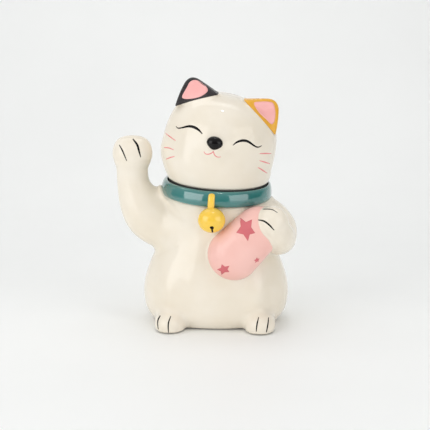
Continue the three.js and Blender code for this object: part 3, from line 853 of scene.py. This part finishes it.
eyes = paint("painted_eyes", [brush(p) for p in EYES], on_face(head_skin), on_neck=True)
mouth = paint("painted_mouth", [brush(p) for p in MOUTH], on_face(head_skin), on_neck=True)
whiskers = paint("painted_whiskers", [brush(p) for p in WHISKERS], on_face(head_skin), on_neck=True)
ear_blots = [blot(ring_points(outline, 8)) for outline in EAR_LININGS]
linings = paint("ear_linings", ear_blots, on_face(on_ears), on_neck=True, sink=0.5)
paws = paint("painted_toe_lines", [brush(p) for p in PAW_LINES], on_front(jar_skin))
stars = paint("painted_stars", [blot(star(tips)) for tips in STARS], on_front(on_pouch), sink=0.5)
keyhole = paint("bell_keyhole", [blot(ring_points(KEYHOLE, 6)), brush(KEYHOLE_SLOT)], on_front(bell_field))


# ---- Materials: noise scales in cells per metre, heights in metres, 8-bit display colours ----
CLAY = (226, 214, 196), (208, 194, 174)
CLAY_FROM, CLAY_TO, CLAY_ROUGH = 0.0008, 0.0016, 0.85  # bare below the first height, glazed above the next
# The seal's rubber is dark; on its lip in the seam gap this colour also stands in for the seam's shadow.
SEAL_AND_SEAM_SHADE = (38, 38, 39), (52, 51, 50)
PAPER = (248, 249, 248), (245, 246, 245)


def srgb(r, g, b):
    """Linear colour from an 8-bit display colour."""
    def linear(c):
        c /= 255
        return c / 12.92 if c <= 0.04045 else ((c + 0.055) / 1.055) ** 2.4
    return (linear(r), linear(g), linear(b), 1)


def noise(nodes, links, coords, scale, detail=3.0):
    node = nodes.new("ShaderNodeTexNoise")
    node.inputs["Scale"].default_value = scale
    node.inputs["Detail"].default_value = detail
    links.new(coords, node.inputs["Vector"])
    return node.outputs["Fac"]


def spread(nodes, links, value, low, high, start=0.3, end=0.7):
    """A value between start and end mapped to a range from low to high."""
    node = nodes.new("ShaderNodeMapRange")
    for key, number in (("From Min", start), ("From Max", end), ("To Min", low), ("To Max", high)):
        node.inputs[key].default_value = number
    links.new(value, node.inputs["Value"])
    return node.outputs["Result"]


def blend(nodes, links, factor, first, second):
    """Mix two colours; each is a colour or a socket."""
    node = nodes.new("ShaderNodeMix")
    node.data_type = "RGBA"
    links.new(factor, node.inputs["Factor"])
    for key, colour in (("A", first), ("B", second)):
        socket = next(i for i in node.inputs if i.name == key and i.type == "RGBA")
        if isinstance(colour, tuple):
            socket.default_value = colour
        else:
            links.new(colour, socket)
    return next(o for o in node.outputs if o.type == "RGBA")


def mottle(nodes, links, value, first, second):
    """Two 8-bit colours mixed by a noise value."""
    return blend(nodes, links, spread(nodes, links, value, 0, 1), srgb(*first), srgb(*second))


def bump(nodes, links, height, strength, distance):
    node = nodes.new("ShaderNodeBump")
    node.inputs["Strength"].default_value = strength
    node.inputs["Distance"].default_value = distance
    links.new(height, node.inputs["Height"])
    return node


def new_material(name):
    """A material with its nodes, links, shader and object coordinates."""
    material = bpy.data.materials.new(name)
    material.use_nodes = True
    nodes, links = material.node_tree.nodes, material.node_tree.links
    coords = nodes.new("ShaderNodeTexCoord").outputs["Object"]
    return material, nodes, links, nodes["Principled BSDF"], coords


def bare_foot(nodes, links, coords, fine, colour, rough):
    """Bare clay instead of the glaze's colour and roughness at the very bottom."""
    split = nodes.new("ShaderNodeSeparateXYZ")
    links.new(coords, split.inputs["Vector"])
    bare = spread(nodes, links, split.outputs["Z"], 1, 0, CLAY_FROM, CLAY_TO)
    colour = blend(nodes, links, bare, colour, mottle(nodes, links, fine, *CLAY))
    rougher = nodes.new("ShaderNodeMix")
    links.new(bare, rougher.inputs["Factor"])
    links.new(rough, rougher.inputs["A"])
    rougher.inputs["B"].default_value = CLAY_ROUGH
    return colour, rougher.outputs["Result"]


def glaze(name, thin, thick, gloss=(0.07, 0.15), wave=0.25, foot=False, index=1.38, coat=0.0):
    """Fired glaze: a little thinner in places, softly waved, with fine pits."""
    material, nodes, links, shader, coords = new_material(name)
    fine = noise(nodes, links, coords, 260, 4)
    colour = mottle(nodes, links, noise(nodes, links, coords, 28), thin, thick)
    rough = spread(nodes, links, fine, *gloss)
    if foot:
        colour, rough = bare_foot(nodes, links, coords, fine, colour, rough)
    links.new(colour, shader.inputs["Base Color"])
    links.new(rough, shader.inputs["Roughness"])
    shader.inputs["IOR"].default_value = index
    shader.inputs["Coat Weight"].default_value = coat
    shader.inputs["Coat Roughness"].default_value = 0.04
    ripple = bump(nodes, links, noise(nodes, links, coords, 75, 2), wave, 0.0006)
    pits = bump(nodes, links, noise(nodes, links, coords, 900, 2), 0.06, 0.0002)
    links.new(ripple.outputs["Normal"], pits.inputs["Normal"])
    links.new(pits.outputs["Normal"], shader.inputs["Normal"])
    links.new(ripple.outputs["Normal"], shader.inputs["Coat Normal"])
    return material


def silicone(name):
    """Dark matt rubber with a fine grain; its dark colour also paints the shade in the seam between the head
    and the collar.
    """
    material, nodes, links, shader, coords = new_material(name)
    grain = noise(nodes, links, coords, 400, 5)
    links.new(mottle(nodes, links, noise(nodes, links, coords, 60), *SEAL_AND_SEAM_SHADE), shader.inputs["Base Color"])
    links.new(spread(nodes, links, grain, 0.5, 0.68), shader.inputs["Roughness"])
    links.new(bump(nodes, links, grain, 0.3, 0.0001).outputs["Normal"], shader.inputs["Normal"])
    return material


def paper(name):
    """Matt pale paper, its tone a little uneven."""
    material, nodes, links, shader, coords = new_material(name)
    links.new(mottle(nodes, links, noise(nodes, links, coords, 3), *PAPER), shader.inputs["Base Color"])
    links.new(spread(nodes, links, noise(nodes, links, coords, 40), 0.45, 0.6), shader.inputs["Roughness"])
    return material


cream = glaze(
    "cream_gloss", (242, 234, 220), (237, 227, 209), gloss=(0.04, 0.1), wave=0.2, foot=True, index=1.39,
)
teal = glaze("teal_gloss", (50, 128, 124), (32, 108, 106), index=1.62, coat=1.0)
yellow = glaze("yellow_gloss", (253, 214, 82), (245, 196, 60), gloss=(0.04, 0.08), index=1.5, coat=0.4)
pink = glaze("pink_gloss", (249, 202, 193), (244, 192, 182), index=1.34)
lining_pink = glaze("lining_gloss", (255, 199, 194), (249, 178, 175), gloss=(0.04, 0.1), index=1.42)
line_pink = glaze("line_gloss", (242, 152, 150), (233, 138, 138))
rose = glaze("rose_gloss", (222, 122, 128), (206, 106, 112))
black = glaze("black_gloss", (66, 62, 63), (52, 49, 51), gloss=(0.22, 0.36), index=1.3)
ink = glaze("ink_gloss", (16, 14, 15), (10, 9, 10), gloss=(0.03, 0.08), index=1.2)
nose_black = glaze("nose_gloss", (14, 10, 12), (9, 7, 8), gloss=(0.02, 0.05), wave=0.1, index=1.33)
orange = glaze("orange_gloss", (242, 186, 76), (232, 170, 60), gloss=(0.2, 0.32), index=1.3)
# Dark seal rubber, which is also painted shade in the seam gap under the head
rubber = silicone("dark_seal_seam_shade")

# Each piece with its body, its slot, its material and the CAD nodes that it replaces
JAR_NODES = ("jar_body", "raised_arm", "holding_arm", "right_foot", "left_foot", "tail")
PIECES = [
    (jar, "jar", "cream_glaze", cream, JAR_NODES),
    (pouch, "jar", "pink_glaze", pink, ("pouch",)),
    (bell, "jar", "yellow_glaze", yellow, ("bell",)),
    (strap, "jar", "yellow_glaze", yellow, ("bell_strap",)),
    (collar, "jar", "teal_glaze", teal, ("collar",)),
    (paws, "jar", "black_glaze", ink, ()),
    (stars, "jar", "pink_glaze", rose, ()),
    (keyhole, "jar", "black_glaze", ink, ()),
    (seal, "seal", "seal_rubber", rubber, ("lid_seal",)),
    (head, "head", "cream_glaze", cream, ("head_lid",)),
    (black_ear, "head", "black_glaze", black, ("right_ear",)),
    (orange_ear, "head", "orange_glaze", orange, ("left_ear",)),
    (nose, "head", "nose_glaze", nose_black, ("nose",)),
    (eyes, "head", "black_glaze", ink, ()),
    (mouth, "head", "pink_glaze", line_pink, ()),
    (whiskers, "head", "pink_glaze", line_pink, ()),
    (linings, "head", "pink_glaze", lining_pink, ()),
]
for thing, body, slot, material, replaced in PIECES:
    thing.data.materials.append(material)
    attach(thing, body)
    if replaced:
        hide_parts(*replaced)

# ---- The set: the backdrop in millimetres, the lights and the camera in metres ----
SWEEP_HALF, SWEEP_FRONT, SWEEP_BACK, SWEEP_BEND, SWEEP_TOP = 2600.0, -1500.0, 500.0, 700.0, 2600.0
AIM = (0, 0, 0.12)
LIGHTS = [
    ("left_box", (-0.94, -0.91, 0.46), AIM, (0.98, 0.86), 6.5),
    ("right_box", (1.0, -0.84, 0.42), AIM, (1.0, 0.8), 4.9),
    ("ceiling_lamp", (0.16, -0.3, 1.5), AIM, (0.09, 0.09), 1.0),
    ("backdrop_wash", (-0.2, 0.35, 1.5), (-0.2, 1.05, 0.2), (1.6, 0.5), 4.6),
]
ROOM_LOW, ROOM_HIGH = 0.22, 0.85  # the room's light at the horizon and overhead
ROOM_SIDES = (0.09, -0.13)  # what its -X and +X sides add
CAMERA_TURN, CAMERA_RISE, CAMERA_AWAY = math.radians(3), math.radians(10), 1.0
TARGET = Vector((-0.001, 0, 0.106))
SENSOR, FOCAL = 36, 83.7  # millimetres


def sweep():
    """Floor that curves up into a backdrop."""
    line = [(SWEEP_FRONT, 0.0), (SWEEP_BACK, 0.0)]
    for a in np.linspace(0, math.pi / 2, 25)[1:]:
        line.append((SWEEP_BACK + SWEEP_BEND * math.sin(a), SWEEP_BEND - SWEEP_BEND * math.cos(a)))
    line.append((SWEEP_BACK + SWEEP_BEND, SWEEP_TOP))
    points = [(x, y, z) for x in (-SWEEP_HALF, SWEEP_HALF) for y, z in line]
    count = len(line)
    faces = [(i, i + count, i + count + 1, i + 1) for i in range(count - 1)]
    thing = mesh_object("sweep", points, faces)
    thing.data.materials.append(paper("sweep_paper"))
    return thing


def softbox(name, at, aim, size, power):
    """A rectangular lamp."""
    light = bpy.data.lights.new(name, "AREA")
    light.shape = "RECTANGLE"
    light.size, light.size_y = size
    light.energy = power
    thing = bpy.data.objects.new(name, light)
    bpy.context.scene.collection.objects.link(thing)
    thing.location = at
    thing.rotation_euler = (Vector(aim) - Vector(at)).to_track_quat("-Z", "Y").to_euler()


def pale_room():
    """White light from all round, brighter overhead and on the -X side."""
    world = bpy.data.worlds.new("pale_room")
    world.use_nodes = True
    nodes, links = world.node_tree.nodes, world.node_tree.links
    split = nodes.new("ShaderNodeSeparateXYZ")
    links.new(nodes.new("ShaderNodeTexCoord").outputs["Generated"], split.inputs["Vector"])
    total = nodes.new("ShaderNodeMath")
    links.new(spread(nodes, links, split.outputs["Z"], ROOM_LOW, ROOM_HIGH, 0, 1), total.inputs[0])
    links.new(spread(nodes, links, split.outputs["X"], *ROOM_SIDES, -1, 1), total.inputs[1])
    links.new(total.outputs["Value"], nodes["Background"].inputs["Strength"])
    nodes["Background"].inputs["Color"].default_value = (1, 1, 1, 1)
    return world


def studio_camera():
    """The camera, looking down a little from the front."""
    level = math.cos(CAMERA_RISE)
    ahead = Vector((-math.sin(CAMERA_TURN) * level, math.cos(CAMERA_TURN) * level, -math.sin(CAMERA_RISE)))
    lens = bpy.data.cameras.new("studio")
    lens.sensor_width = SENSOR
    lens.lens = FOCAL
    camera = bpy.data.objects.new("studio", lens)
    camera.location = TARGET - ahead * CAMERA_AWAY
    camera.rotation_euler = ahead.to_track_quat("-Z", "Y").to_euler()
    bpy.context.scene.collection.objects.link(camera)
    return camera


sweep()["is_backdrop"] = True
for light in LIGHTS:
    softbox(*light)
scene = bpy.context.scene
scene.view_settings.view_transform = "Standard"
scene.world = pale_room()
scene.camera = studio_camera()

shown_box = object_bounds()
sizes = {name: [list(corner) for corner in box] for name, box in (("cad", cad_box), ("visual", shown_box))}
